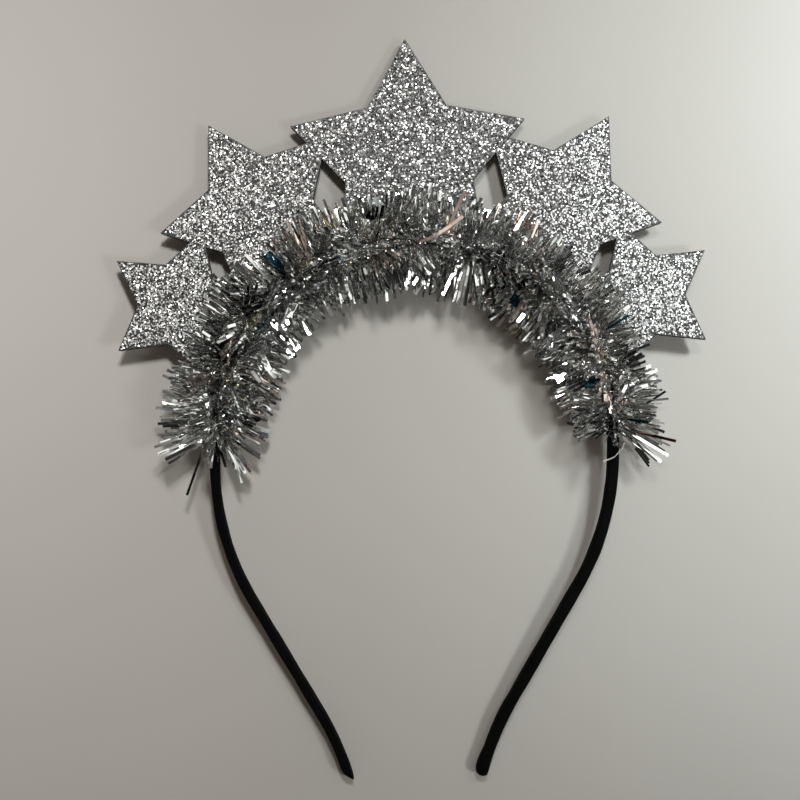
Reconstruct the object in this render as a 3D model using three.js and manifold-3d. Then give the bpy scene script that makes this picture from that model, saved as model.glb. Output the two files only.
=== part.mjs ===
// Star tinsel headband: a black cloth-covered hoop, one glittered foam sheet cut into five joined
// stars, and a foil tinsel garland wound round the crown of the hoop over the feet of the stars.
//
// Millimetres, +Z up. It lies on its back on a table: the tips of the arms touch the table and the
// tinsel holds the crown up, so the hoop's plane rises towards the crown. The star sheet is glued
// behind the crown and leans back, so its top point hangs just above the table. In the hoop's own
// axes X runs across the head, Y from the arms to the crown and Z towards the front, and the origin
// is the centre of the round crown. The finished part has its origin on the table, under the middle
// of its box.

import * as THREE from "three";
import { mergeVertices } from "three/addons/utils/BufferGeometryUtils.js";
import Module from "manifold-3d";

const wasm = await Module();
wasm.setup();

// Driving dimensions

const HOOP_RISE_DEG = 3;
const SEAT_GAP = 0.3; // between a piece and what it is glued or wound on

const BAND = {
  crownRadius: 56.8, // centreline of the half circle over the head
  shoulderRadius: 76, // arc that turns an arm inwards
  legLength: 38.1, // straight stretch of an arm
  flareRadius: 85, // arc that turns the end of an arm back out
  thickness: 3, // across the head, at the top of the crown
  width: 5, // front to back
  corner: 1.1,
  arcSteps: 10,
  cornerSteps: 2,
};

// Each end of the band: distance from the end, how far the face on the head's side and the outer face
// stand from the centreline as shares of half the thickness, and the share of the width.
const POINTED_TIP = [
  { fromEnd: 0, inside: 1, outside: -0.75, width: 0.55 },
  { fromEnd: 1, inside: 1, outside: -0.1, width: 0.8 },
  { fromEnd: 2.2, inside: 1, outside: 0.6, width: 0.95 },
  { fromEnd: 4, inside: 1, outside: 1, width: 1 },
];
const ROUNDED_TIP = [
  { fromEnd: 0, inside: 0.7, outside: 0.6, width: 0.6 },
  { fromEnd: 0.6, inside: 1.15, outside: 0.95, width: 0.9 },
  { fromEnd: 1.6, inside: 1.35, outside: 1, width: 1 },
  { fromEnd: 4, inside: 1.3, outside: 1, width: 1 },
  { fromEnd: 8, inside: 1, outside: 1, width: 1 },
];

// The arms: side of the head, thickness below the crown, straight stretch below the half circle, turn
// inwards, turn of the flare, and end.
const LEFT_ARM = { side: -1, thickness: 2.6, templeDrop: 7.5, shoulderTurn: 30.5, flareTurn: 14.3, tip: POINTED_TIP };
const RIGHT_ARM = { side: 1, thickness: 3.1, templeDrop: 4.5, shoulderTurn: 29.5, flareTurn: 15.9, tip: ROUNDED_TIP };

// The stars: place on the fan in degrees from its middle, distance of the centre from the centre of
// the crown, distance of the points from the star's centre, and the star's own turn.
const STARS = [
  { place: 0, centre: 80.1, points: 35.4, turn: 0.9 },
  { place: 33.1, centre: 78.9, points: 28.9, turn: 29.5 },
  { place: -33.2, centre: 79.4, points: 29.1, turn: -29.2 },
  { place: 58.9, centre: 77.2, points: 21.9, turn: 54.6 },
  { place: -58.8, centre: 77.4, points: 21.8, turn: -55 },
];
const STAR_ARMS = 5;
const STAR_INNER_SHARE = 0.547; // inner corners against points
const SHEET = {
  fanTurn: 1.05, // glued on a little off the middle
  lean: 6, // back from the hoop's plane
  hinge: 52, // height above the crown's centre where it is glued to the back of the band
  glitter: 0.3,
  glueLine: 0.15,
  foam: 1.8,
};

const TINSEL = {
  leftEnd: 4.5, // the winding stops this far above the ends of the half circle
  rightEnd: 12,
  coreWall: 1.6, // wound threads round the band
  coreSteps: 18, // sections of the core along the crown
  rows: 36,
  locksPerRow: 9,
  rootDepth: 0.6, // locks are sunk this far into the core
  pile: 11.8, // free length of the foil
  pileJitter: 1.2,
  swell: 0.8, // slow swell of the pile along the garland
  swells: 6.5,
  rootWidth: 1.7,
  tipWidth: 3.6,
  thickness: 1.3,
  leanJitter: 9,
  roundJitter: 8,
  roll: 28, // the flat of a lock turns up to this far either way
  endFan: 74, // the last rows spread past the end of the winding
  endFanSpan: 14, // degrees of the crown over which they spread
  endPile: 3, // and are longer
  seed: 7,
};

// Small helpers

const rad = THREE.MathUtils.degToRad;

function randomFrom(seed) {
  let state = seed;
  return () => {
    state = (Math.imul(state, 1664525) + 1013904223) >>> 0;
    return state / 2 ** 32;
  };
}

function solidOf(geometry) {
  const bare = geometry.clone();
  bare.deleteAttribute("normal");
  bare.deleteAttribute("uv");
  const merged = mergeVertices(bare, 1e-4);
  const vertProperties = merged.attributes.position.array;
  const triVerts = new Uint32Array(merged.index.array);
  return new wasm.Manifold(new wasm.Mesh({ numProp: 3, vertProperties, triVerts }));
}

function geometryOf(solid) {
  const mesh = solid.getMesh();
  const geometry = new THREE.BufferGeometry();
  geometry.setAttribute("position", new THREE.BufferAttribute(mesh.vertProperties, 3));
  geometry.setIndex(new THREE.BufferAttribute(mesh.triVerts, 1));
  geometry.computeVertexNormals();
  return geometry;
}

function union(solids) {
  return solids.reduce((whole, solid) => whole.add(solid));
}

// A closed skin through rings that all have the same number of points.
function loft(rings) {
  const sides = rings[0].length;
  const positions = rings.flat().flatMap((p) => [p.x, p.y, p.z]);
  const index = [];
  for (let i = 0; i + 1 < rings.length; i++) {
    for (let k = 0; k < sides; k++) {
      const a = i * sides + k;
      const b = i * sides + ((k + 1) % sides);
      index.push(a, b, b + sides, a, b + sides, a + sides);
    }
  }
  const last = (rings.length - 1) * sides;
  for (let k = 1; k + 1 < sides; k++) {
    index.push(0, k + 1, k, last, last + k, last + k + 1);
  }
  const geometry = new THREE.BufferGeometry();
  geometry.setAttribute("position", new THREE.Float32BufferAttribute(positions, 3));
  geometry.setIndex(index);
  return geometry;
}

// The value of a column of a tip's table, read between its rows.
function tipValue(table, fromEnd, column) {
  const next = table.findIndex((row) => row.fromEnd >= fromEnd);
  if (next < 0) return table.at(-1)[column];
  if (next === 0) return table[0][column];
  const [low, high] = [table[next - 1], table[next]];
  const share = (fromEnd - low.fromEnd) / (high.fromEnd - low.fromEnd);
  return THREE.MathUtils.lerp(low[column], high[column], share);
}

// Band

// Centreline of an arm on the right-hand side, from the top of the crown to its end.
function armCentreline({ templeDrop, shoulderTurn, flareTurn }) {
  const { crownRadius, shoulderRadius, legLength, flareRadius } = BAND;
  const path = new THREE.Path();
  path.absarc(0, 0, crownRadius, rad(90), 0, true);
  path.lineTo(crownRadius, -templeDrop);
  path.absarc(crownRadius - shoulderRadius, -templeDrop, shoulderRadius, 0, rad(-shoulderTurn), true);
  const down = new THREE.Vector2(-Math.sin(rad(shoulderTurn)), -Math.cos(rad(shoulderTurn)));
  const legEnd = path.currentPoint.clone().addScaledVector(down, legLength);
  path.lineTo(legEnd.x, legEnd.y);
  const flareCentre = legEnd.clone().add(new THREE.Vector2(-down.y, down.x).multiplyScalar(flareRadius));
  const flareStart = 180 - shoulderTurn;
  path.absarc(flareCentre.x, flareCentre.y, flareRadius, rad(flareStart), rad(flareStart + flareTurn), false);
  return path;
}

// Stations from the top of the crown to the end of an arm: a few along each arc, the ends of the
// straight stretches, and those of the tip's table.
function armStations(arm) {
  const { side, tip } = arm;
  const path = armCentreline(arm);
  const length = path.getLength();
  const crownLength = path.curves[0].getLength();
  const walks = [];
  let walked = 0;
  for (const curve of path.curves) {
    const steps = curve.isLineCurve ? 1 : BAND.arcSteps;
    for (let k = 0; k < steps; k++) walks.push(walked + (curve.getLength() * k) / steps);
    walked += curve.getLength();
  }
  const tipLength = tip.at(-1).fromEnd;
  const body = walks.map((walk) => length - walk).filter((fromEnd) => fromEnd > tipLength + 1);
  const ends = tip.map((row) => row.fromEnd).reverse();
  return [...body, ...ends].map((fromEnd) => {
    const p = path.getPoint(1 - fromEnd / length);
    const crownShare = Math.min((length - fromEnd) / crownLength, 1);
    const thickness = THREE.MathUtils.lerp(BAND.thickness, arm.thickness, crownShare);
    return { x: side * p.x, y: p.y, thickness, fromEnd, tip };
  });
}

// All stations from the left end over the crown to the right end, with their outward directions.
function bandStations() {
  const left = armStations(LEFT_ARM).reverse();
  const right = armStations(RIGHT_ARM).slice(1); // the top of the crown belongs to both arms
  const stations = [...left, ...right];
  return stations.map((station, i) => {
    const before = stations[Math.max(i - 1, 0)];
    const after = stations[Math.min(i + 1, stations.length - 1)];
    const along = new THREE.Vector2(after.x - before.x, after.y - before.y).normalize();
    return { ...station, out: new THREE.Vector2(-along.y, along.x) };
  });
}

// Rounded rectangle: reach towards the head and away from it, half width and corner radius.
function sectionPoints(inside, outside, halfWidth, corner, cornerSteps) {
  const points = [];
  const r = Math.min(corner, (inside + outside) / 2 - 0.05, halfWidth - 0.05);
  const corners = [
    { out: outside - r, front: halfWidth - r, start: 0 },
    { out: -inside + r, front: halfWidth - r, start: 90 },
    { out: -inside + r, front: -halfWidth + r, start: 180 },
    { out: outside - r, front: -halfWidth + r, start: 270 },
  ];
  for (const c of corners) {
    for (let k = 0; k <= cornerSteps; k++) {
      const angle = rad(c.start + (90 * k) / cornerSteps);
      points.push({ out: c.out + r * Math.cos(angle), front: c.front + r * Math.sin(angle) });
    }
  }
  return points;
}

function bandGeometry(grow = 0) {
  const rings = bandStations().map(({ x, y, thickness, out, fromEnd, tip }) => {
    const inside = (thickness / 2) * tipValue(tip, fromEnd, "inside") + grow;
    const outside = (thickness / 2) * tipValue(tip, fromEnd, "outside") + grow;
    const halfWidth = (BAND.width / 2) * tipValue(tip, fromEnd, "width") + grow;
    const section = sectionPoints(inside, outside, halfWidth, BAND.corner, BAND.cornerSteps);
    return section.map((s) => new THREE.Vector3(x + out.x * s.out, y + out.y * s.out, s.front));
  });
  return loft(rings);
}

// Star sheet

// The sheet's own axes: they lean back from the hoop's at the line where it is glued to the band,
// and the front of the glitter is at zero.
const sheetFrame = new THREE.Group();
sheetFrame.position.set(0, SHEET.hinge, -BAND.width / 2 - SEAT_GAP);
sheetFrame.rotation.x = -rad(SHEET.lean);
sheetFrame.updateMatrix();

const glitterBack = -SHEET.glitter;
const foamFront = glitterBack - SHEET.glueLine;
const foamBack = foamFront - SHEET.foam;

// One star whose edges stand out by grow, so that a grown sheet keeps the same clearance all round.
function starShape({ place, centre, points, turn }, grow) {
  const inner = points * STAR_INNER_SHARE;
  const step = Math.PI / STAR_ARMS;
  const edge = Math.hypot(points - inner * Math.cos(step), inner * Math.sin(step));
  const edgeDistance = (points * inner * Math.sin(step)) / edge;
  const scale = 1 + grow / edgeDistance;
  const upright = 90 + SHEET.fanTurn;
  const x = centre * Math.cos(rad(upright + place));
  const y = centre * Math.sin(rad(upright + place)) - SHEET.hinge;
  const outline = [];
  for (let k = 0; k < 2 * STAR_ARMS; k++) {
    const angle = rad(upright + turn) + k * step;
    const r = (k % 2 ? inner : points) * scale;
    outline.push(new THREE.Vector2(x + r * Math.cos(angle), y + r * Math.sin(angle)));
  }
  return new THREE.Shape(outline);
}

function starPlates(back, front, grow = 0) {
  const depth = front - back + 2 * grow;
  return STARS.map((star) => {
    const plate = new THREE.ExtrudeGeometry(starShape(star, grow), { depth, bevelEnabled: false });
    return plate.translate(0, 0, back - grow);
  });
}

function starSheet(back, front) {
  return geometryOf(union(starPlates(back, front).map(solidOf)));
}

// The room that the sheet takes up, with clearance, in the hoop's axes.
function sheetRoom() {
  const plates = starPlates(foamBack, 0, SEAT_GAP);
  return union(plates.map((plate) => solidOf(plate.applyMatrix4(sheetFrame.matrix))));
}

// Tinsel

const coreHalf = BAND.thickness / 2 + SEAT_GAP + TINSEL.coreWall;
const coreHalfWidth = BAND.width / 2 + SEAT_GAP + TINSEL.coreWall;
const tinselSweep = 180 - TINSEL.leftEnd - TINSEL.rightEnd;

function tinselCore() {
  const rings = [];
  const section = sectionPoints(coreHalf, coreHalf, coreHalfWidth, coreHalf, 1);
  for (let i = 0; i <= TINSEL.coreSteps; i++) {
    const angle = rad(180 - TINSEL.leftEnd - (tinselSweep * i) / TINSEL.coreSteps);
    const ring = section.map(({ out, front }) => {
      const r = BAND.crownRadius + out;
      return new THREE.Vector3(r * Math.cos(angle), r * Math.sin(angle), front);
    });
    rings.push(ring);
  }
  return solidOf(loft(rings));
}

// One lock of foil: a strip creased along its middle that widens to a square-cut end, standing along +Y.
function lockGeometry(length) {
  const ring = (width, height) =>
    [0, 1, 2].map((corner) => {
      const turn = (corner * 2 * Math.PI) / 3;
      const x = (width / Math.sqrt(3)) * Math.sin(turn);
      return new THREE.Vector3(x, height, (TINSEL.thickness / 1.5) * Math.cos(turn));
    });
  return loft([ring(TINSEL.rootWidth, 0), ring(TINSEL.tipWidth, length)]);
}

// Locks stand all round the core in rows, every other row half a place on. Near the ends of the
// winding they lean out along the arms.
function tinselLocks() {
  const t = TINSEL;
  const random = randomFrom(t.seed);
  const jitter = (amount) => amount * (2 * random() - 1);
  const front = new THREE.Vector3(0, 0, 1);
  const locks = [];
  for (let row = 0; row < t.rows; row++) {
    const share = row / (t.rows - 1);
    const nearEnd = Math.max(0, 1 - (tinselSweep * Math.min(share, 1 - share)) / t.endFanSpan);
    const endLean = t.endFan * nearEnd * (share < 0.5 ? -1 : 1);
    const angle = rad(180 - t.leftEnd - tinselSweep * share);
    const out = new THREE.Vector3(Math.cos(angle), Math.sin(angle), 0);
    const along = new THREE.Vector3(Math.sin(angle), -Math.cos(angle), 0);
    for (let k = 0; k < t.locksPerRow; k++) {
      const round = rad((360 / t.locksPerRow) * (k + (row % 2) / 2) + jitter(t.roundJitter));
      const lean = rad(endLean + jitter(t.leanJitter));
      const swell = t.swell * Math.sin(2 * Math.PI * t.swells * share + round);
      const length = t.rootDepth + t.pile + t.endPile * nearEnd + swell + jitter(t.pileJitter);
      const up = out.clone().multiplyScalar(Math.cos(round)).addScaledVector(front, Math.sin(round));
      const direction = up.clone().multiplyScalar(Math.cos(lean)).addScaledVector(along, Math.sin(lean));
      const side = new THREE.Vector3().crossVectors(direction, along).normalize();
      const flat = new THREE.Vector3().crossVectors(side, direction);
      const placement = new THREE.Matrix4().makeBasis(side, direction, flat);
      placement.multiply(new THREE.Matrix4().makeRotationY(rad(jitter(t.roll))));
      const root = out.clone().multiplyScalar(BAND.crownRadius).addScaledVector(up, coreHalf - t.rootDepth);
      placement.setPosition(root);
      locks.push(solidOf(lockGeometry(length).applyMatrix4(placement)));
    }
  }
  return locks;
}

// The table under the leaning hoop, as a block in the hoop's own axes.
function tableBlock(height) {
  const size = 400;
  const block = new THREE.BoxGeometry(size, size, size).translate(0, 0, -size / 2);
  block.rotateX(-rad(HOOP_RISE_DEG));
  return solidOf(block.translate(0, 0, height / Math.cos(rad(HOOP_RISE_DEG))));
}

// Height of the lowest point of a geometry once it leans, measured from the hoop's origin.
function lowestPoint(geometry) {
  const leaning = geometry.clone().rotateX(rad(HOOP_RISE_DEG));
  leaning.computeBoundingBox();
  return leaning.boundingBox.min.z;
}

// Assembly

const band = bandGeometry();
const tinsel = union([tinselCore(), ...tinselLocks()])
  .subtract(solidOf(bandGeometry(SEAT_GAP)))
  .subtract(sheetRoom())
  .subtract(tableBlock(lowestPoint(band)));
const [garland] = tinsel.decompose().sort((a, b) => b.volume() - a.volume());

const cloth = new THREE.MeshStandardMaterial({ color: 0x0c0c0d, roughness: 0.85, metalness: 0 });
const foam = new THREE.MeshStandardMaterial({ color: 0x161616, roughness: 0.9, metalness: 0 });
const glitter = new THREE.MeshStandardMaterial({ color: 0xb4b5b2, roughness: 0.35, metalness: 0.8 });
const foil = new THREE.MeshStandardMaterial({ color: 0xc6c7c9, roughness: 0.15, metalness: 1 });

function piece(name, geometry, material) {
  const mesh = new THREE.Mesh(geometry, material);
  mesh.name = name;
  return mesh;
}

const hoop = new THREE.Group();
hoop.rotation.x = rad(HOOP_RISE_DEG);
hoop.add(piece("band", band, cloth));
hoop.add(piece("tinsel_garland", geometryOf(garland), foil));
hoop.add(sheetFrame);
sheetFrame.add(piece("star_backing", starSheet(foamBack, foamFront), foam));
sheetFrame.add(piece("star_glitter_face", starSheet(glitterBack, 0), glitter));

const headband = new THREE.Group();
headband.add(hoop);
const box = new THREE.Box3().setFromObject(headband, true);
const middle = box.getCenter(new THREE.Vector3());
hoop.position.set(-middle.x, -middle.y, -box.min.z);

export default headband;
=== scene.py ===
"""Looks of the star tinsel headband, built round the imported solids.

Lengths in the tables are millimetres in the hoop's own axes, as in the part's source: X across the
head, Y from the arms to the crown, Z towards the front, with the centre of the round crown at zero.
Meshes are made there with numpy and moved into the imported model's frame, in metres.
"""

import math
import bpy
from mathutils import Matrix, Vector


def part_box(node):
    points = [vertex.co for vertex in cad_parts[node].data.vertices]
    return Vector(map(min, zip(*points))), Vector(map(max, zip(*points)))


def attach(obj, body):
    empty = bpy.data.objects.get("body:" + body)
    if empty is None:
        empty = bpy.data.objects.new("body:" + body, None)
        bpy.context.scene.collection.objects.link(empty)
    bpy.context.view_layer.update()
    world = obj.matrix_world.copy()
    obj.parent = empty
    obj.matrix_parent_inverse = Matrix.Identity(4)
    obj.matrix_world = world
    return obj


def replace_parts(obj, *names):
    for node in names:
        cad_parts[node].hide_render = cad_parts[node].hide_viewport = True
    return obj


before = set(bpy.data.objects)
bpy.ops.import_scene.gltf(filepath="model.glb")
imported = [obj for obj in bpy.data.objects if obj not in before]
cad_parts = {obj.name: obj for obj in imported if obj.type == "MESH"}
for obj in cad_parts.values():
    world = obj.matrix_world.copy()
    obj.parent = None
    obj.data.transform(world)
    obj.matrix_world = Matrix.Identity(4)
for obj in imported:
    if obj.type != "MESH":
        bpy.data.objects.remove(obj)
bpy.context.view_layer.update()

from types import SimpleNamespace as Sizes

import bmesh
import bpy
import numpy as np
from mathutils import Vector

# Driving dimensions

MM = 0.001
HOOP_RISE = math.radians(3)
SEAT_GAP = 0.3

BAND = Sizes(
    crown_radius=56.8,
    shoulder_radius=76,
    leg=38.1,
    flare_radius=85,
    thickness=3,  # across the head, at the top of the crown
    width=5,
    corner=1.1,  # radius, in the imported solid
    step=0.6,  # between sections along the band
    sides=28,
    roundness=0.42,  # power of the section's rounded rectangle
    seam_place=232,  # degrees round the section from outwards to the front: the back of the inner face
    seam_height=0.16,  # of the lap of the cloth
    seam_width=0.35,  # radians
    unevenness=0.035,
    uneven_waves=(3.1, 7.7, 1.7),  # millimetres along the band for a radian of each wave
    uneven_shift=1,  # radians that the second wave is ahead
)

# Each end of the band: distance from the end, how far the face on the head's side and the outer face
# stand from the centreline as shares of half the thickness, and the share of the width.
POINTED_TIP = {
    "from_end": [0, 1, 2.2, 4],
    "inside": [1, 1, 1, 1],
    "outside": [-0.75, -0.1, 0.6, 1],
    "width": [0.55, 0.8, 0.95, 1],
}
ROUNDED_TIP = {
    "from_end": [0, 0.3, 0.8, 1.6, 4, 8],
    "inside": [0.5, 0.95, 1.2, 1.35, 1.3, 1],
    "outside": [0.4, 0.8, 0.95, 1, 1, 1],
    "width": [0.5, 0.78, 0.92, 1, 1, 1],
}

# The arms: side of the head, thickness, straight drop at the temple, and turns in degrees.
LEFT_ARM = Sizes(
    side=-1,
    thickness=2.6,
    temple_drop=7.5,
    shoulder_turn=30.5,
    flare_turn=14.3,
    tip=POINTED_TIP,
)
RIGHT_ARM = Sizes(
    side=1,
    thickness=3.1,
    temple_drop=4.5,
    shoulder_turn=29.5,
    flare_turn=15.9,
    tip=ROUNDED_TIP,
)

# The stars: place on the fan in degrees from its middle, distance of the centre from the centre of
# the crown, distance of the points from the star's centre, and the star's own turn.
STARS = [
    Sizes(place=0, centre=80.1, points=35.4, turn=0.9),
    Sizes(place=33.1, centre=78.9, points=28.9, turn=29.5),
    Sizes(place=-33.2, centre=79.4, points=29.1, turn=-29.2),
    Sizes(place=58.9, centre=77.2, points=21.9, turn=54.6),
    Sizes(place=-58.8, centre=77.4, points=21.8, turn=-55),
]
STAR_ARMS = 5
STAR_INNER_SHARE = 0.547
SHEET = Sizes(
    fan_turn=1.05,  # degrees
    lean=math.radians(6),
    hinge=52,  # from the centre of the crown to the line about which the sheet leans
    thickness=2.25,  # of the foam and the glitter together
    foam_bevel=0.22,
    glitter_bevel=0.07,
    bevel_segments=2,
    sharp_angle=20,  # degrees; edges that turn more are eased
    flat_angle=1,  # faces that turn less are joined first
    merge_distance=0.001,
)

FLAKES = Sizes(
    spacing=0.5,
    jitter=0.16,
    across=(-90, 90),  # of the sheet, where places are tried
    along=(-60, 70),
    inset=0.4,  # from the cut edge
    sides=6,
    radius=(0.18, 0.33),
    thickness=0.05,
    lift=(0.0, 0.1),
    tilt=17,  # degrees, standard deviation
    dull=(0.02, 0.065),  # greys of the flakes painted dark: painted shade, for flakes that mirror nothing bright
    # greys of the flakes painted bright: painted glints, for flakes that mirror a lamp
    bright=(0.6, 0.9),
    blue_share=0.98,  # of the greys, which are a little warm
    warmth=0.02,
    metal=0.5,
    # share of the flakes painted dark, as painted shade
    dull_share=0.31,
    middle_dull_share=0.39,  # more flakes painted dark on the middle star: painted shade that makes it look less lit
    middle_width=50,
    cuts=(-23, 21),  # where the flakes are parted into three pieces across the fan
    seed=11,
)

TINSEL = Sizes(
    left_end=2,  # degrees from the ends of the half circle to the outermost tufts
    right_end=3.5,
    tufts=880,
    front_crowding=0.4,  # how much closer the tufts stand towards the front
    comb=5,  # strips that stay side by side
    comb_pitch=0.85,
    comb_fan=2,  # degrees between neighbours
    width=(0.65, 1.0),
    thickness=0.06,
    pile=13.1,  # from the band's face to the tips
    outer_trim=1.2,  # shorter on the side of the stars
    pile_jitter=1.2,
    swell=0.8,  # longer and shorter in lobes along the garland
    swells=6.5,
    lean_wave=8,  # degrees by which whole lobes lean to and fro
    lean_start=1.3,  # radians that the leaning is ahead of the swelling
    lean_jitter=7,
    round_jitter=10,  # degrees round the band
    roll=30,  # degrees that the flat of a tuft turns from lying along the band
    bend=5,  # degrees over the whole length, as the twist
    twist=4,
    strip_jitter=2,  # degrees between the strips of a tuft
    strip_roll=9,
    root_gap=0.15,  # from the band to the first point of a strip
    foot_jitter=40,  # degrees round the band, of the place where a tuft is tied on
    side_power=4,  # how sharply front, back and outer tufts stand apart from the others
    front_splay=46,  # tufts that stand to the front or the back are more tousled
    front_roll=50,
    front_bend=42,
    front_trim=0.3,
    short_share=0.22,  # of the tufts, which hide the core of the garland
    short_length=0.58,
    short_splay=20,
    left_fan=58,  # degrees that the outermost tufts lean over the ends
    left_outer_fan=0.4,  # share of it on the side of the stars
    left_fan_span=4.5,  # degrees of the half circle over which the leaning grows
    right_fan=62,
    right_inner_fan=0.1,  # share of it on the head's side
    right_fan_span=7,
    end_pile=1.5,  # longer towards the ends
    right_inner_trim=6,  # shorter there on the head's side of the right end
    segments=5,  # straight stretches of a strip
    clearance=0.12,  # of the strips from the stars and the table
    stack=0.9,  # strips that lie on the stars pile up to this height
    table_press=3,  # times lower on the table
    lying=0.3,  # a strip turns flat on them where more than this share of its run is along them
    steepest=0.9,  # share of a stretch that may go up or down to come to lie on them
    seed=7,
)

# Colours of the foil, each with its share of metal. Only silver is the foil's own colour; the dark grey,
# black, pink, yellow, blue and red ones are painted reflections of a dark room and of things nearby, the
# pink with little metal as a matt painted reflection. The dark grey is also the thread's own colour.
SILVER = (0.74, 0.74, 0.73, 0.985)
DARK_THREAD_AND_PAINTED_REFLECTION = (0.48, 0.50, 0.49, 0.97)
PINK_PAINTED_REFLECTION = (0.80, 0.68, 0.62, 0.92)
BLUE_PAINTED_REFLECTION = (0.04, 0.11, 0.15, 0.97)
YELLOW_PAINTED_REFLECTION = (0.62, 0.58, 0.48, 0.97)
BLACK_PAINTED_REFLECTION = (0.10, 0.10, 0.10, 0.97)
RED_PAINTED_REFLECTION = (0.20, 0.06, 0.06, 0.97)
MATT_PINK_PAINTED_REFLECTION = (0.80, 0.62, 0.53, 0.35)

# Tints of the tufts: share of them, colour, and how much its brightness varies. All but silver are painted
# reflections.
FOIL_TINTS = [
    Sizes(share=0.82, colour=SILVER, vary=0.04),
    Sizes(share=0.08, colour=DARK_THREAD_AND_PAINTED_REFLECTION, vary=0.10),
    Sizes(share=0.04, colour=PINK_PAINTED_REFLECTION, vary=0.08),
    Sizes(share=0.03, colour=BLACK_PAINTED_REFLECTION, vary=0.03),
    Sizes(share=0.03, colour=YELLOW_PAINTED_REFLECTION, vary=0.08),
]
FOIL_TINT_RANGE = (0.01, 0.97)

# Strips that stick out of the pile: share of the garland's length, how many lie side by side, degrees
# round the band from outwards to the front of the place where they are tied on and of their direction,
# lean along the band, roll, bend over the whole length, length and colour. Colours other than silver are
# painted reflections.
STRAY_COLUMNS = ("share", "comb", "foot", "around", "lean", "roll", "bend", "length", "tint")
STRAYS = [
    (0.507, 1, 107, 107, 2, -53, -96, 20.5, MATT_PINK_PAINTED_REFLECTION),
    (0.553, 1, 52, 52, 7, -30, -12, 18, MATT_PINK_PAINTED_REFLECTION),
    (0.002, 1, 22, 22, -72, 12, 3, 19, BLACK_PAINTED_REFLECTION),
    (0.006, 2, 92, 92, -52, 5, 20, 10, SILVER),
    (0.004, 3, 165, 170, -50, 25, 4, 14.6, PINK_PAINTED_REFLECTION),
    (0.006, 2, 160, 174, -31, 10, 3, 13.8, SILVER),
    (0.010, 2, 160, 176, -6, -20, 2, 13.8, SILVER),
    (0.013, 2, 150, 172, -18, 22, 6, 12.6, PINK_PAINTED_REFLECTION),
    (0.018, 3, 185, 184, -9, -10, -3, 14.2, DARK_THREAD_AND_PAINTED_REFLECTION),
    (0.026, 2, 150, 174, 3, 15, 3, 13.6, SILVER),
    (0.982, 1, 30, 30, 39, 42, 113, 18.5, SILVER),
    (0.990, 1, 15, 15, -28, 13, -4, 15.8, BLACK_PAINTED_REFLECTION),
    (0.993, 3, 25, 14, 57, 20, 0, 14.2, SILVER),
    (0.996, 2, 25, 12, 44, 24, 0, 15.2, DARK_THREAD_AND_PAINTED_REFLECTION),
    (0.999, 1, 32, 32, 14, -9, -15, 16.8, RED_PAINTED_REFLECTION),
    (0.288, 3, 50, 50, 0, 0, 0, 13, BLUE_PAINTED_REFLECTION),
    (0.173, 2, 100, 100, 10, 60, 50, 10, BLUE_PAINTED_REFLECTION),
    (0.705, 3, 130, 130, 0, 15, 10, 12.5, BLUE_PAINTED_REFLECTION),
    (0.911, 2, 115, 115, 0, 10, 20, 11, BLUE_PAINTED_REFLECTION),
    (0.849, 1, 38, 38, -5, 10, 0, 14, BLUE_PAINTED_REFLECTION),
    (0.985, 1, 58, 58, 5, -10, -20, 11, BLUE_PAINTED_REFLECTION),
    (0.228, 2, 130, 170, -19, -15, 0, 15.2, SILVER),
    (0.245, 2, 115, 170, -17, -14, 0, 15.6, SILVER),
    (0.270, 1, 115, 171, -10, -13, 0, 14.6, SILVER),
    (0.515, 1, 95, 168, -16, 0, 0, 14, SILVER),
    (0.546, 1, 95, 169, -24, 2, 0, 14.4, SILVER),
    (0.566, 1, 95, 169, -20, 3, 0, 15, SILVER),
    (0.590, 1, 95, 169, -11, 4, 0, 15.4, SILVER),
    (0.741, 1, 120, 120, -8, 8, 52, 14, SILVER),
    (0.880, 2, 120, 120, -8, 18, 56, 15, SILVER),
]

# The tying thread: its points are those of one turn round the band.
THREAD = Sizes(radius=0.25, gap=0.32, turns=46, points=20, sides=6)

# Camera: straight above the table, placed from the centre of the crown.
CAMERA = Sizes(x=-4.0, y=11.4, height=400, focal_px=1375.4, frame_px=800, sensor=36, nearest=10)

# The stage, in metres. Lamps: place, point on the table that each looks at, opening of the beam in
# degrees, size of the panel and power.
TABLE_REACH = 1.6
LAMPS = [
    Sizes(
        name="ceiling_left",
        place=(0.02, 0.26, 0.51),
        aim=(-0.241, 0.037),
        beam=71,
        size=(0.09, 0.06),
        watts=0.49,
        colour=(0.99, 0.975, 0.955),
    ),
    Sizes(
        name="ceiling_right",
        place=(0.277, 0.25, 0.446),
        aim=(0.232, 0.105),
        beam=57,
        size=(0.08, 0.08),
        watts=0.56,
        colour=(0.95, 1.0, 1.0),
    ),
    Sizes(
        name="window_right",
        place=(0.36, -0.135, 0.5),
        aim=(0.077, -0.094),
        beam=60,
        size=(0.1, 0.1),
        watts=0.12,
        colour=(0.97, 1.0, 1.0),
    ),
]

# Colours of the room's sky by height, for the light that it gives and for what the foil mirrors, and the
# patches of light that the foil mirrors there: range of the sky's noise, and strength over that range.
ROOM = Sizes(
    light_horizon=(0.255, 0.212, 0.183),
    light_zenith=(0.107, 0.087, 0.073),
    mirrored_horizon=(0.14, 0.141, 0.135),
    mirrored_zenith=(0.066, 0.067, 0.064),
    zenith_from=0.8,  # share of the sky's height
    patch_scale=5,
    soft_patches=Sizes(noise=(0.42, 0.6), strength=(0.1, 2.6)),
    glare=Sizes(noise=(0.58, 0.63), strength=(0, 18)),
)


# Small helpers


FRONT = np.array([0, 0, 1])
TINY = 1e-9
GOLDEN_SHARE = (math.sqrt(5) - 1) / 2
QUARTER_CROWN = BAND.crown_radius * math.pi / 2
STAR_STEP = math.pi / STAR_ARMS


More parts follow.
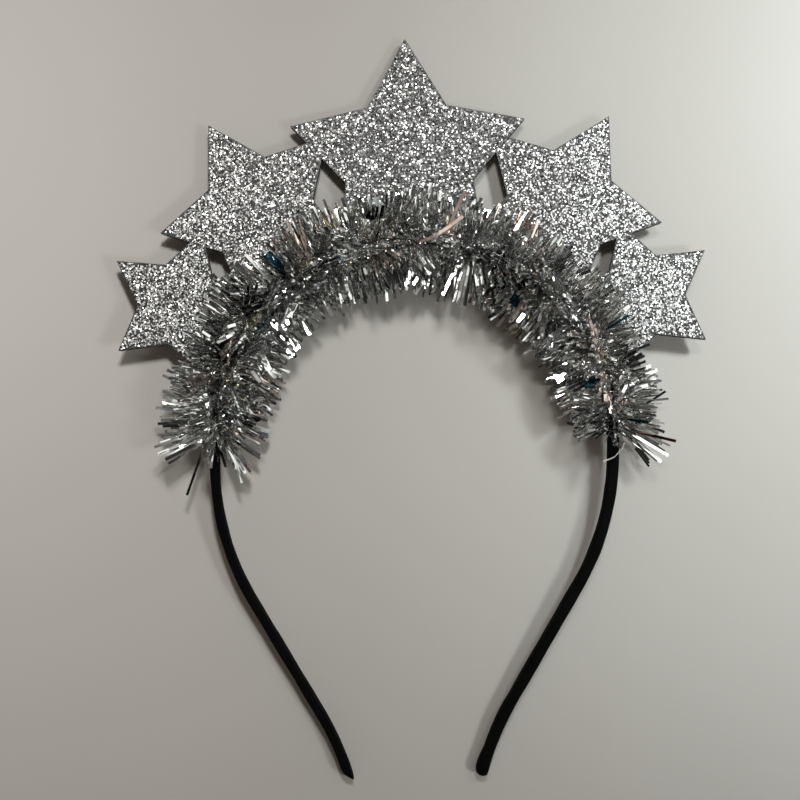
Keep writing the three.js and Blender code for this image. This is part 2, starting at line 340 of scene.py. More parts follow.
def about_x(angle):
    c, s = math.cos(angle), math.sin(angle)
    return np.array([[1, 0, 0], [0, c, -s], [0, s, c]])


def unit(vectors):
    return vectors / np.linalg.norm(vectors, axis=-1, keepdims=True)


def across_to(vectors, axes):
    """Vectors without what they have along unit axes."""
    return vectors - axes * (vectors * axes).sum(-1, keepdims=True)


def turned(vectors, axes, angles):
    """Vectors turned about unit axes, each by its own angle."""
    c, s = np.cos(angles)[:, None], np.sin(angles)[:, None]
    along = (vectors * axes).sum(-1, keepdims=True)
    return vectors * c + np.cross(axes, vectors) * s + axes * along * (1 - c)


# The hoop's place: its crown touches the top and the back of the band's box, and its left side the left.
HOOP_TURN = about_x(HOOP_RISE)
band_low, band_high = (np.array(corner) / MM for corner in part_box("band"))
rise_cos, rise_sin = math.cos(HOOP_RISE), math.sin(HOOP_RISE)
crown_outer = BAND.crown_radius + BAND.thickness / 2
half_band = BAND.width / 2
HOOP_ORIGIN = np.array(
    [
        band_low[0] + BAND.crown_radius + LEFT_ARM.thickness / 2,
        band_high[1] - crown_outer * rise_cos - (half_band - BAND.corner) * rise_sin,
        band_high[2] - (crown_outer - BAND.corner) * rise_sin - half_band * rise_cos,
    ]
)
TABLE_NORMAL = HOOP_TURN.T @ FRONT

SHEET_TURN = about_x(-SHEET.lean)
SHEET_ORIGIN = np.array([0, SHEET.hinge, -half_band - SEAT_GAP])
SHEET_NORMAL = SHEET_TURN @ FRONT


def hoop_to_row(points):
    return (points @ HOOP_TURN.T + HOOP_ORIGIN) * MM


def hoop_to_sheet(points):
    return (points - SHEET_ORIGIN) @ SHEET_TURN


def sheet_to_hoop(points):
    return points @ SHEET_TURN.T + SHEET_ORIGIN


def above_table(points):
    return points @ TABLE_NORMAL + HOOP_ORIGIN[2]


def add_piece(name, points, faces, material):
    """A new mesh from points in the hoop's axes, riding on the part."""
    mesh = bpy.data.meshes.new(name)
    mesh.from_pydata(hoop_to_row(points), [], faces)
    return add_mesh(name, mesh, material)


def add_mesh(name, mesh, material):
    mesh.materials.clear()
    mesh.materials.append(material)
    piece = bpy.data.objects.new(name, mesh)
    bpy.context.scene.collection.objects.link(piece)
    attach(piece, "root")
    return piece


def tube_faces(rings, sides):
    """Quads between rings of points that follow one another, and a cap at each end."""
    ring, side = np.meshgrid(np.arange(rings - 1), np.arange(sides), indexing="ij")
    after = (side + 1) % sides
    quads = [
        ring * sides + side,
        ring * sides + after,
        (ring + 1) * sides + after,
        (ring + 1) * sides + side,
    ]
    start = list(range(sides))[::-1]
    end = [(rings - 1) * sides + side for side in range(sides)]
    return [*np.stack(quads, -1).reshape(-1, 4).tolist(), start, end]


def rounded_square(turn):
    """Outward and frontward shares of the half sides of the band's section, at turns round it."""
    return [np.sign(share) * np.abs(share) ** BAND.roundness for share in (np.cos(turn), np.sin(turn))]


# Materials


def new_material(name):
    material = bpy.data.materials.new(name)
    material.use_nodes = True
    return material, material.node_tree.nodes, material.node_tree.links


def noise(nodes, links, coordinate, scale, detail=3):
    texture = nodes.new("ShaderNodeTexNoise")
    texture.inputs["Scale"].default_value = scale
    texture.inputs["Detail"].default_value = detail
    links.new(coordinate, texture.inputs["Vector"])
    return texture.outputs["Fac"]


def ramp(nodes, links, value, stops):
    """A colour ramp through (place, grey or colour) stops."""
    node = nodes.new("ShaderNodeValToRGB")
    elements = node.color_ramp.elements
    while len(elements) < len(stops):
        elements.new(1.0)
    for element, (place, colour) in zip(elements, stops):
        element.position = place
        rgb = colour if isinstance(colour, tuple) else (colour, colour, colour)
        element.color = (*rgb, 1)
    links.new(value, node.inputs["Fac"])
    return node.outputs["Color"]


def bump(nodes, links, height, distance):
    node = nodes.new("ShaderNodeBump")
    node.inputs["Distance"].default_value = distance
    node.inputs["Strength"].default_value = 1
    links.new(height, node.inputs["Height"])
    return node.outputs["Normal"]


def cloth_material():
    """Fine black ribbon cloth: ribs across the band and slightly greyer patches."""
    material, nodes, links = new_material("black_ribbon_cloth")
    shader = nodes["Principled BSDF"]
    shader.inputs["Roughness"].default_value = 0.9
    shader.inputs["Specular IOR Level"].default_value = 0.05
    place = nodes.new("ShaderNodeUVMap")
    place.uv_map = "cloth"
    ribs = nodes.new("ShaderNodeTexWave")
    ribs.wave_profile = "SIN"
    ribs.inputs["Scale"].default_value = 0.9
    ribs.inputs["Distortion"].default_value = 0.6
    ribs.inputs["Detail"].default_value = 1.0
    links.new(place.outputs["UV"], ribs.inputs["Vector"])
    fuzz = noise(nodes, links, place.outputs["UV"], scale=3.0)
    worn = noise(nodes, links, place.outputs["UV"], scale=0.12)
    blacks = [(0.3, (0.0016, 0.0017, 0.0017)), (0.75, (0.0035, 0.0036, 0.0037))]
    links.new(ramp(nodes, links, worn, blacks), shader.inputs["Base Color"])
    mixed = nodes.new("ShaderNodeMath")
    mixed.operation = "ADD"
    links.new(ribs.outputs["Fac"], mixed.inputs[0])
    links.new(fuzz, mixed.inputs[1])
    links.new(bump(nodes, links, mixed.outputs["Value"], distance=0.00006), shader.inputs["Normal"])
    return material


def foam_material():
    """Matt black craft foam with fine open pores."""
    material, nodes, links = new_material("black_craft_foam")
    shader = nodes["Principled BSDF"]
    shader.inputs["Roughness"].default_value = 0.88
    shader.inputs["Specular IOR Level"].default_value = 0.3
    place = nodes.new("ShaderNodeTexCoord").outputs["Object"]
    pores = nodes.new("ShaderNodeTexVoronoi")
    pores.inputs["Scale"].default_value = 2600
    links.new(place, pores.inputs["Vector"])
    cloud = noise(nodes, links, place, scale=160)
    blacks = [(0.3, 0.009), (0.75, 0.022)]
    links.new(ramp(nodes, links, cloud, blacks), shader.inputs["Base Color"])
    links.new(bump(nodes, links, pores.outputs["Distance"], distance=0.00012), shader.inputs["Normal"])
    return material


def glitter_bed_material():
    """Grey glue layer with glitter dust, under the flakes."""
    material, nodes, links = new_material("glitter_bed")
    shader = nodes["Principled BSDF"]
    shader.inputs["Roughness"].default_value = 0.42
    shader.inputs["Metallic"].default_value = 0.6
    place = nodes.new("ShaderNodeTexCoord").outputs["Object"]
    dust = nodes.new("ShaderNodeTexVoronoi")
    dust.inputs["Scale"].default_value = 2400
    links.new(place, dust.inputs["Vector"])
    grain = nodes.new("ShaderNodeSeparateColor")
    links.new(dust.outputs["Color"], grain.inputs["Color"])
    greys = [(0.2, 0.015), (0.85, 0.09)]
    links.new(ramp(nodes, links, grain.outputs["Red"], greys), shader.inputs["Base Color"])
    links.new(bump(nodes, links, grain.outputs["Green"], distance=0.0001), shader.inputs["Normal"])
    return material


def tinted_metal(name, roughness):
    """Metal whose colour and share of metal are held flake by flake or strip by strip."""
    material, nodes, links = new_material(name)
    shader = nodes["Principled BSDF"]
    shader.inputs["Roughness"].default_value = roughness
    tint = nodes.new("ShaderNodeAttribute")
    tint.attribute_name = "tint"
    links.new(tint.outputs["Color"], shader.inputs["Base Color"])
    links.new(tint.outputs["Alpha"], shader.inputs["Metallic"])
    return material


def floor_material():
    """Pale matt table top with very soft mottling."""
    material, nodes, links = new_material("pale_table")
    shader = nodes["Principled BSDF"]
    shader.inputs["Roughness"].default_value = 0.7
    shader.inputs["Specular IOR Level"].default_value = 0.2
    place = nodes.new("ShaderNodeTexCoord").outputs["Object"]
    mottle = noise(nodes, links, place, scale=9, detail=4)
    pales = [(0.35, (0.505, 0.495, 0.465)), (0.65, (0.52, 0.51, 0.48))]
    links.new(ramp(nodes, links, mottle, pales), shader.inputs["Base Color"])
    return material


CLOTH = cloth_material()
FOAM = foam_material()
GLITTER_BED = glitter_bed_material()
GLITTER_FLAKE = tinted_metal("glitter_flake", roughness=0.35)
FOIL = tinted_metal("silver_foil", roughness=0.07)

BAKE_SQUARE = [(0, 0), (1, 0), (1, 1), (0, 1)]
BAKE_MARGIN = 0.08


def set_tints(mesh, tints, points_each):
    """One colour and share of metal for all the points of each flake or strip."""
    attribute = mesh.color_attributes.new("tint", "FLOAT_COLOR", "POINT")
    attribute.data.foreach_set("color", np.repeat(tints, points_each, axis=0).astype(np.float32).ravel())


def set_bake_squares(mesh, count, corners):
    """A map for baking in which each flake or strip fills one small square. corners holds the place in
    the square of every face corner of one of them."""
    grid = math.ceil(math.sqrt(count))
    cells = np.column_stack([np.arange(count) % grid, np.arange(count) // grid])
    inner = BAKE_MARGIN + (1 - 2 * BAKE_MARGIN) * np.array(corners)
    places = (cells[:, None, :] + inner[None, :, :]) / grid
    mesh.uv_layers.new(name="OFBake").uv.foreach_set("vector", places.astype(np.float32).ravel())


# Band


def arm_line(arm):
    """Centreline of an arm on its own side, from the top of the crown to its end, and how far each point
    is from the end. Every stretch has an even turn, in degrees towards the head."""
    stretches = [
        Sizes(length=QUARTER_CROWN, turn=90),
        Sizes(length=arm.temple_drop, turn=0),
        Sizes(length=BAND.shoulder_radius * math.radians(arm.shoulder_turn), turn=arm.shoulder_turn),
        Sizes(length=BAND.leg, turn=0),
        Sizes(length=BAND.flare_radius * math.radians(arm.flare_turn), turn=-arm.flare_turn),
    ]
    walked = np.cumsum([0] + [s.length for s in stretches])
    headings = np.cumsum([0] + [s.turn for s in stretches])
    at = np.linspace(0, walked[-1], round(walked[-1] / BAND.step) + 1)
    heading = np.radians(np.interp((at[1:] + at[:-1]) / 2, walked, headings))
    steps = np.column_stack([np.cos(heading), -np.sin(heading)]) * (at[1] - at[0])
    points = np.vstack([[0, BAND.crown_radius], steps]).cumsum(axis=0)
    return points * [arm.side, 1], walked[-1] - at


def arm_sections(arm):
    """Centreline points of an arm with their reach inwards, outwards and half to the front."""
    points, from_end = arm_line(arm)
    crown_share = np.clip((from_end[0] - from_end) / QUARTER_CROWN, 0, 1)
    thickness = BAND.thickness + (arm.thickness - BAND.thickness) * crown_share

    def share(name):
        return np.interp(from_end, arm.tip["from_end"], arm.tip[name])

    reach = np.column_stack([share("inside"), share("outside")]) * thickness[:, None] / 2
    return np.column_stack([points, reach, share("width") * BAND.width / 2])


def band_skin():
    """Rings of points round the band from its left end to its right, how far along it each ring is, and
    the turns of a ring's points."""
    sections = np.vstack([arm_sections(LEFT_ARM)[::-1], arm_sections(RIGHT_ARM)[1:]])
    line, inside, outside, half_width = sections[:, :2], sections[:, 2], sections[:, 3], sections[:, 4]
    along = unit(np.gradient(line, axis=0))
    out = np.column_stack([-along[:, 1], along[:, 0]])
    walked = np.concatenate([[0], np.linalg.norm(np.diff(line, axis=0), axis=1).cumsum()])

    turn = 2 * math.pi * np.arange(BAND.sides) / BAND.sides
    square_out, square_front = rounded_square(turn)
    middle, half = (outside - inside) / 2, (outside + inside) / 2
    seam_turn = np.angle(np.exp(1j * (turn - math.radians(BAND.seam_place))))
    seam = BAND.seam_height * np.exp(-((seam_turn / BAND.seam_width) ** 2))
    first, second, third = (walked / length for length in BAND.uneven_waves)
    uneven = BAND.unevenness * (np.sin(first) + np.sin(second + BAND.uneven_shift) * np.sin(third))
    reach_out = middle[:, None] + np.outer(half + uneven, square_out)
    reach_front = np.outer(half_width + uneven, square_front)
    reach_out += np.outer(half / half.max(), seam * np.cos(turn))
    reach_front += np.outer(half / half.max(), seam * np.sin(turn))

    points = np.empty((*reach_out.shape, 3))
    points[..., :2] = line[:, None, :] + out[:, None, :] * reach_out[..., None]
    points[..., 2] = reach_front
    return points, walked, turn


def band_piece():
    """The cloth-covered hoop as one swept skin with a lapped seam, mapped by its length and girth."""
    points, walked, turn = band_skin()
    rings = len(points)
    faces = [face[::-1] for face in tube_faces(rings, BAND.sides)]
    piece = add_piece("band_cloth", points.reshape(-1, 3), faces, CLOTH)
    piece.data.shade_smooth()
    girth = 2 * (BAND.thickness + BAND.width)
    round_it = np.tile(turn / (2 * math.pi) * girth, rings)
    places = np.column_stack([np.repeat(walked, BAND.sides), round_it]).astype(np.float32)
    corner_points = np.empty(len(piece.data.loops), np.int32)
    piece.data.loops.foreach_get("vertex_index", corner_points)
    piece.data.uv_layers.new(name="cloth").uv.foreach_set("vector", places[corner_points].ravel())
    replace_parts(piece, "band")


# Star sheet


def star_corners(star):
    """The star's centre in the sheet's axes, its first point's direction, and the two ends of an edge."""
    upright = math.radians(90 + SHEET.fan_turn)
    direction = upright + math.radians(star.place)
    centre = star.centre * np.array([math.cos(direction), math.sin(direction)]) - [0, SHEET.hinge]
    tip = np.array([star.points, 0])
    inner = star.points * STAR_INNER_SHARE * np.array([math.cos(STAR_STEP), math.sin(STAR_STEP)])
    return centre, upright + math.radians(star.turn), tip, inner


def inside_stars(places, grow):
    """Whether places in the sheet's axes lie inside the joined stars, grown all round."""
    found = np.zeros(len(places), bool)
    for star in STARS:
        centre, first, tip, inner = star_corners(star)
        x, y = (places - centre).T
        angle = np.abs((np.arctan2(y, x) - first + STAR_STEP) % (2 * STAR_STEP) - STAR_STEP)
        distance = np.hypot(x, y)
        edge = inner - tip
        outward = np.array([edge[1], -edge[0]]) / np.hypot(*edge)
        reach = distance * (np.cos(angle) * outward[0] + np.sin(angle) * outward[1])
        found |= reach < tip @ outward + grow
    return found


def sheet_layer(node, name, material, bevel):
    """A layer of the sheet from the node's own outline, with its cut edges eased."""
    solid = bmesh.new()
    solid.from_mesh(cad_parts[node].data)
    flat, sharp = math.radians(SHEET.flat_angle), math.radians(SHEET.sharp_angle)
    bmesh.ops.remove_doubles(solid, verts=solid.verts, dist=SHEET.merge_distance * MM)
    bmesh.ops.dissolve_limit(solid, angle_limit=flat, verts=solid.verts, edges=solid.edges)
    bmesh.ops.bevel(
        solid,
        geom=[edge for edge in solid.edges if edge.calc_face_angle(0) > sharp],
        offset=bevel * MM,
        segments=SHEET.bevel_segments,
        profile=0.5,
        affect="EDGES",
    )
    bmesh.ops.triangulate(solid, faces=[face for face in solid.faces if len(face.verts) > 4])
    mesh = bpy.data.meshes.new(name)
    solid.to_mesh(mesh)
    solid.free()
    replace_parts(add_mesh(name, mesh, material), node)


def flake_places(random):
    """Places over the stars on a shaken grid of triangles."""
    rows = np.arange(*FLAKES.along, FLAKES.spacing * math.sqrt(3) / 2)
    columns = np.arange(*FLAKES.across, FLAKES.spacing)
    x, y = np.meshgrid(columns, rows)
    x = x + (np.arange(len(rows)) % 2)[:, None] * FLAKES.spacing / 2
    places = np.column_stack([x.ravel(), y.ravel()])
    places += random.normal(0, FLAKES.jitter, places.shape)
    return places[inside_stars(places, -FLAKES.inset)]


def flake_tints(random, places):
    """Silver flakes, each painted dark or painted bright in place of the sparkle that their tilts would
    give: painted shade and painted glints, with more painted shade on the middle star.
    """
    count = len(places)
    nearness = np.exp(-((places[:, 0] / FLAKES.middle_width) ** 2))
    dull = random.random(count) < FLAKES.dull_share + FLAKES.middle_dull_share * nearness
    grey = np.where(dull, random.uniform(*FLAKES.dull, count), random.uniform(*FLAKES.bright, count))
    warmth = random.normal(0, FLAKES.warmth, count)
    metal = np.full(count, FLAKES.metal)
    tints = np.column_stack([grey * (1 + warmth), grey, grey * (FLAKES.blue_share - warmth), metal])
    return np.clip(tints, 0, 1)


def flakes_piece(name, places, random):
    """Flakes that lie in the glue at all angles, joined in one mesh."""
    count = len(places)
    sides = FLAKES.sides
    corners = 2 * sides
    corner_turns = np.arange(sides) * 2 * math.pi / sides
    radius = random.uniform(*FLAKES.radius, count)
    spin = random.uniform(0, math.pi, count)
    turn = spin[:, None] + corner_turns
    flat = np.stack([np.cos(turn), np.sin(turn), np.zeros_like(turn)], -1) * radius[:, None, None]
    half = FRONT * FLAKES.thickness / 2
    plate = np.concatenate([flat - half, flat + half], axis=1)
    axis_turn = random.uniform(0, 2 * math.pi, count)
    axes = np.column_stack([np.cos(axis_turn), np.sin(axis_turn), np.zeros(count)])
    tilt = np.radians(random.normal(0, FLAKES.tilt, count))
    plate = turned(plate.reshape(-1, 3), np.repeat(axes, corners, axis=0), np.repeat(tilt, corners))
    plate = plate.reshape(count, corners, 3)
    plate[..., :2] += places[:, None, :]
    plate[..., 2] += random.uniform(*FLAKES.lift, count)[:, None]
    bottom, top = list(range(sides)), list(range(sides, corners))
    edges = [[k, (k + 1) % sides, sides + (k + 1) % sides, sides + k] for k in range(sides)]
    one = [bottom[::-1], top, *edges]
    faces = [[corners * flake + corner for corner in face] for flake in range(count) for face in one]
    piece = add_piece(name, sheet_to_hoop(plate.reshape(-1, 3)), faces, GLITTER_FLAKE)
    set_tints(piece.data, flake_tints(random, places), corners)
    outline = [(0.5 + 0.5 * math.cos(angle), 0.5 + 0.5 * math.sin(angle)) for angle in corner_turns]
    set_bake_squares(piece.data, count, [*outline[::-1], *outline, *BAKE_SQUARE * sides])


def star_pieces():
    sheet_layer("star_backing", "star_foam", FOAM, SHEET.foam_bevel)
    sheet_layer("star_glitter_face", "star_glitter_bed", GLITTER_BED, SHEET.glitter_bevel)
    random = np.random.default_rng(FLAKES.seed)
    places = flake_places(random)
    part = np.digitize(places[:, 0], FLAKES.cuts)
    for index, name in enumerate(("star_glitter_left", "star_glitter_middle", "star_glitter_right")):
        flakes_piece(name, places[part == index], random)


# Tinsel


TINSEL_SWEEP = 180 - TINSEL.left_end - TINSEL.right_end


def crown_axes(share):
    """Outward and lengthwise directions of the garland at shares of its length from the left end."""
    angle = np.radians(180 - TINSEL.left_end - TINSEL_SWEEP * share)
    zero = np.zeros_like(angle)
    out = np.column_stack([np.cos(angle), np.sin(angle), zero])
    along = np.column_stack([np.sin(angle), -np.cos(angle), zero])
    return out, along


# Tuft colours: silver, or painted reflections in dark grey, pink, black and yellow.
def foil_tints(random, count):
    picks = random.choice(len(FOIL_TINTS), count, p=[tint.share for tint in FOIL_TINTS])
    colours = np.array([tint.colour for tint in FOIL_TINTS])[picks]
    vary = np.array([tint.vary for tint in FOIL_TINTS])[picks]
    colours[:, :3] += (vary * random.normal(0, 1, count))[:, None]
    return np.clip(colours, *FOIL_TINT_RANGE)


def tuft_shapes(random):
    """Places and shapes of the tufts that stand round the band, golden angles apart, in degrees."""
    t = TINSEL
    tufts = np.arange(t.tufts)
    share = (tufts + random.random(t.tufts)) / t.tufts
    even = 2 * math.pi * tufts * GOLDEN_SHARE
    around = np.degrees(even + t.front_crowding * np.cos(even)) + random.normal(0, t.round_jitter, t.tufts)
    outward, frontward = np.cos(np.radians(around)), np.sin(np.radians(around))
    front_or_back = frontward**t.side_power
    outer_side = ((1 + outward) / 2) ** t.side_power
    on_left = share < 0.5
    fan_span = np.where(on_left, t.left_fan_span, t.right_fan_span)
    near_end = np.clip(1 - TINSEL_SWEEP * np.minimum(share, 1 - share) / fan_span, 0, 1)
    lobe = 2 * math.pi * t.swells * share

    short = random.random(t.tufts) < t.short_share
    left_fan = t.left_fan * (1 - (1 - t.left_outer_fan) * outer_side)
    right_fan = t.right_fan * (t.right_inner_fan + (1 - t.right_inner_fan) * outer_side)
    splay = (t.front_splay * front_or_back + t.short_splay * short) * (1 - near_end)
    lean = near_end * np.where(on_left, -left_fan, right_fan) + t.lean_wave * np.sin(lobe + t.lean_start)
    lean += random.normal(0, 1, t.tufts) * (t.lean_jitter + splay)
    roll = random.normal(0, 1, t.tufts) * (t.roll + t.front_roll * front_or_back)
    bend = random.normal(0, 1, t.tufts) * (t.bend + t.front_bend * front_or_back)

    outer = np.clip(outward, 0, 1) * np.sin(math.pi * share)
    inner_right = np.where(on_left, 0, np.clip(-outward, 0, 1))
    length = t.pile - t.outer_trim * outer + t.swell * np.sin(lobe + np.radians(around))
    length += near_end * (t.end_pile - t.right_inner_trim * inner_right)
    length *= 1 - t.front_trim * front_or_back * random.random(t.tufts)
    length *= np.where(short, t.short_length, 1)
    foot = around + random.normal(0, t.foot_jitter, t.tufts)
    return Sizes(share=share, foot=foot, around=around, lean=lean, roll=roll, bend=bend, length=length)


def comb_places(count):
    """Places side by side in a comb of strips, counted from its middle."""
    return np.arange(count) - (count - 1) / 2


def tuft_strips(random):
    """The strips of the tufts, each a comb of strips that differ a little."""
    t = TINSEL
    tuft = tuft_shapes(random)
    place = np.tile(comb_places(t.comb), t.tufts)
    count = len(place)

    def each(values, jitter):
        return np.repeat(values, t.comb) + random.normal(0, jitter, count)

    return Sizes(
        share=np.repeat(tuft.share, t.comb),
        offset=place * t.comb_pitch,
        foot=np.repeat(tuft.foot, t.comb),
        around=each(tuft.around, t.strip_jitter),
        lean=each(tuft.lean, t.strip_jitter) + place * t.comb_fan,
        roll=each(tuft.roll, t.strip_roll),
        bend=each(tuft.bend, t.strip_jitter),
        twist=random.normal(0, t.twist, count),
        length=each(tuft.length, t.pile_jitter),
        tint=np.repeat(foil_tints(random, t.tufts), t.comb, axis=0),
    )


def stray_strips():
    columns = {name: np.array(values) for name, values in zip(STRAY_COLUMNS, zip(*STRAYS))}
    combs = columns.pop("comb")
    place = np.concatenate([comb_places(comb) for comb in combs])
    each = {name: np.repeat(values, combs, axis=0) for name, values in columns.items()}
    return Sizes(offset=place * TINSEL.comb_pitch, twist=np.zeros(len(place)), **each)


def joined(first, second):
    pairs = {name: (values, vars(second)[name]) for name, values in vars(first).items()}
    return Sizes(**{name: np.concatenate(pair) for name, pair in pairs.items()})


def strip_roots(strips):
    """Where each strip leaves the band, its direction there and the direction of its width."""
    angles = (strips.foot, strips.around, strips.lean)
    foot, around, lean = (np.radians(angle)[:, None] for angle in angles)
    out, along = crown_axes(strips.share)
    direction = (out * np.cos(around) + FRONT * np.sin(around)) * np.cos(lean) + along * np.sin(lean)
    width = unit(across_to(along, direction))
    reach_out = (BAND.thickness / 2 + TINSEL.root_gap) * np.cos(foot)
    reach_front = (BAND.width / 2 + TINSEL.root_gap) * np.sin(foot)
    roots = out * (BAND.crown_radius + reach_out) + FRONT * reach_front + along * strips.offset[:, None]
    return roots, direction, turned(width, direction, np.radians(strips.roll))


def kept_off(step, depth, limit, normal):
    """Steps that would sink below a limit along a normal are turned to run along it, as long as before.
    The tiny length gives a step along the normal a way to turn."""
    sinks = depth + step @ normal < limit
    length = np.linalg.norm(step, axis=1)
    rise = np.clip(limit - depth, -length * TINSEL.steepest, length * TINSEL.steepest)
    flat = step - np.outer(step @ normal, normal)
    flat = unit(flat + TINY) * np.sqrt(length**2 - rise**2)[:, None]
    turned_step = flat + np.outer(rise, normal)
    return np.where(sinks[:, None], turned_step, step), sinks


def walk_strips(strips, random):
    """Points and width directions along the strips. They curl, and where they meet the table or the star
    sheet they bend and run on along it."""
    t = TINSEL
    place, direction, width = strip_roots(strips)
    points, widths = [place], [width]
    stack = random.random(len(place)) * t.stack
    in_front = hoop_to_sheet(place)[:, 2] > -SHEET.thickness / 2
    for _ in range(t.segments):
        direction = turned(direction, width, np.radians(strips.bend) / t.segments)
        width = turned(width, direction, np.radians(strips.twist) / t.segments)
        step = direction * (strips.length / t.segments)[:, None]
        over = hoop_to_sheet(place + step)
        covered = inside_stars(over[:, :2], SEAT_GAP)
        depth = hoop_to_sheet(place)[:, 2]
        above, hit_front = kept_off(step, depth, t.clearance + stack, SHEET_NORMAL)
        below, hit_back = kept_off(step, -depth, SHEET.thickness + t.clearance + stack, -SHEET_NORMAL)
        hit_front &= covered & in_front
        hit_back &= covered & ~in_front
        step = np.where(hit_front[:, None], above, np.where(hit_back[:, None], below, step))
        lowest = t.clearance + stack / t.table_press
        step, hit_table = kept_off(step, above_table(place), lowest, TABLE_NORMAL)
        place = place + step
        in_front = np.where(covered, in_front, hoop_to_sheet(place)[:, 2] > -SHEET.thickness / 2)
        direction = unit(step)
        lies_on = (hit_front | hit_back)[:, None] * SHEET_NORMAL + hit_table[:, None] * TABLE_NORMAL
        flat_width = np.cross(lies_on, direction)
        lying = np.linalg.norm(flat_width, axis=1) > t.lying
        width = unit(across_to(np.where(lying[:, None], flat_width, width), direction))
        points.append(place)
        widths.append(width)
    return np.stack(points, 1), np.stack(widths, 1)


def strips_piece(name, points, widths, tints, random):
    """Thin flat strips of foil, joined in one mesh."""
    t = TINSEL
    count, rings = points.shape[:2]
    along = unit(np.gradient(points, axis=1))
    across = widths * random.uniform(*t.width, count)[:, None, None] / 2
    through = np.cross(along, widths) * t.thickness / 2
    left, right = points - across, points + across
    skin = np.stack([left - through, right - through, right + through, left + through], 2)
    sunk = above_table(skin) - t.thickness / 2
    skin -= np.minimum(sunk, 0)[..., None] * TABLE_NORMAL
    sides = skin.shape[2]
    one = np.array(tube_faces(rings, sides))
    faces = (np.arange(count)[:, None, None] * sides * rings + one).reshape(-1, 4)
    piece = add_piece(name, skin.reshape(-1, 3), faces.tolist(), FOIL)
    set_tints(piece.data, tints, sides * rings)
    set_bake_squares(piece.data, count, BAKE_SQUARE * len(one))
    return piece


def thread_piece():
    """The thread that ties the strips on, wound round the band."""
    t = THREAD
    count = t.turns * t.points
    share = np.linspace(0, 1, count)
    out, along = crown_axes(share)
    square_out, square_front = rounded_square(2 * math.pi * t.turns * share)
    reach_out = (BAND.thickness / 2 + t.gap) * square_out
    reach_front = (BAND.width / 2 + t.gap) * square_front
    line = out * (BAND.crown_radius + reach_out)[:, None] + FRONT * reach_front[:, None]
    forward = unit(np.gradient(line, axis=0))
    side = unit(np.cross(forward, along))
    other = np.cross(forward, side)
    turn = (2 * math.pi * np.arange(t.sides) / t.sides)[None, :, None]
    rings = line[:, None] + t.radius * (side[:, None] * np.cos(turn) + other[:, None] * np.sin(turn))
    faces = tube_faces(count, t.sides)
    piece = add_piece("tinsel_thread", rings.reshape(-1, 3), faces, FOIL)
    set_tints(piece.data, np.tile(DARK_THREAD_AND_PAINTED_REFLECTION, (count, 1)), t.sides)


def tinsel_pieces():
    random = np.random.default_rng(TINSEL.seed)
    strips = joined(tuft_strips(random), stray_strips())
    points, widths = walk_strips(strips, random)
    left = points[:, 0, 0] < 0
    for name, half in (("tinsel_left", left), ("tinsel_right", ~left)):
        piece = strips_piece(name, points[half], widths[half], strips.tint[half], random)
        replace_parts(piece, "tinsel_garland")
    thread_piece()


# Stage


def floor():
    mesh = bpy.data.meshes.new("table")
    corners = [(TABLE_REACH * x, TABLE_REACH * y, 0) for x, y in ((-1, -1), (1, -1), (1, 1), (-1, 1))]
    mesh.from_pydata(corners, [], [(0, 1, 2, 3)])
    mesh.materials.append(floor_material())
    table = bpy.data.objects.new("table", mesh)
    bpy.context.scene.collection.objects.link(table)


def lamps():
    for lamp in LAMPS:
        data = bpy.data.lights.new(lamp.name, "AREA")
        data.shape = "RECTANGLE"
        data.size, data.size_y = lamp.size
        data.spread = math.radians(lamp.beam)
        data.energy = lamp.watts
        data.color = lamp.colour
        panel = bpy.data.objects.new(lamp.name, data)
        panel.location = lamp.place
        looks = Vector((*lamp.aim, 0)) - panel.location
        panel.rotation_euler = looks.to_track_quat("-Z", "Y").to_euler()
        bpy.context.scene.collection.objects.link(panel)


def background(nodes, links, horizon, zenith):
    """A sky that changes with height."""
    sky = nodes.new("ShaderNodeBackground")
    height = nodes.new("ShaderNodeSeparateXYZ")
    links.new(nodes.new("ShaderNodeTexCoord").outputs["Generated"], height.inputs["Vector"])
    stops = [(0.0, horizon), (ROOM.zenith_from, zenith)]
    links.new(ramp(nodes, links, height.outputs["Z"], stops), sky.inputs["Color"])
    return sky


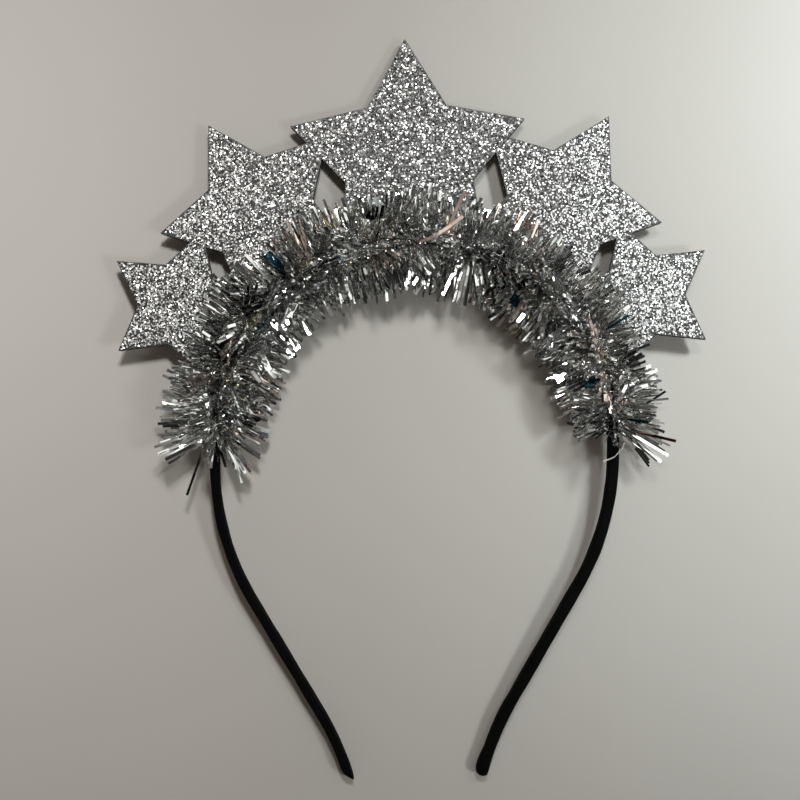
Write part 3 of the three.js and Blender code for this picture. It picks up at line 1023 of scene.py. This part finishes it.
def patches(nodes, links, patch):
    """Soft patches of light over the sky, where its noise lies in or above a range."""
    node = nodes.new("ShaderNodeMapRange")
    node.inputs["From Min"].default_value, node.inputs["From Max"].default_value = patch.noise
    node.inputs["To Min"].default_value, node.inputs["To Max"].default_value = patch.strength
    direction = nodes.new("ShaderNodeTexCoord").outputs["Generated"]
    links.new(noise(nodes, links, direction, ROOM.patch_scale, detail=1), node.inputs["Value"])
    return node.outputs["Result"]


def room():
    """Dim warm light on the table, and a grey room with brighter patches for the foil to mirror."""
    world = bpy.data.worlds.new("room")
    world.use_nodes = True
    nodes, links = world.node_tree.nodes, world.node_tree.links
    light = background(nodes, links, ROOM.light_horizon, ROOM.light_zenith)
    mirrored = background(nodes, links, ROOM.mirrored_horizon, ROOM.mirrored_zenith)
    total = nodes.new("ShaderNodeMath")
    total.operation = "ADD"
    links.new(patches(nodes, links, ROOM.soft_patches), total.inputs[0])
    links.new(patches(nodes, links, ROOM.glare), total.inputs[1])
    links.new(total.outputs["Value"], mirrored.inputs["Strength"])
    both = nodes.new("ShaderNodeMixShader")
    links.new(nodes.new("ShaderNodeLightPath").outputs["Is Glossy Ray"], both.inputs["Fac"])
    links.new(light.outputs["Background"], both.inputs[1])
    links.new(mirrored.outputs["Background"], both.inputs[2])
    links.new(both.outputs["Shader"], nodes["World Output"].inputs["Surface"])
    bpy.context.scene.world = world


def camera():
    data = bpy.data.cameras.new("camera")
    data.sensor_width = CAMERA.sensor
    data.lens = CAMERA.focal_px / CAMERA.frame_px * data.sensor_width
    data.clip_start = CAMERA.nearest * MM
    viewer = bpy.data.objects.new("camera", data)
    x, y = HOOP_ORIGIN[0] + CAMERA.x, HOOP_ORIGIN[1] + CAMERA.y
    viewer.location = (x * MM, y * MM, CAMERA.height * MM)
    bpy.context.scene.collection.objects.link(viewer)
    bpy.context.scene.camera = viewer


camera()
floor()
lamps()
room()
bpy.context.scene.view_settings.view_transform = "Standard"
band_piece()
star_pieces()
tinsel_pieces()
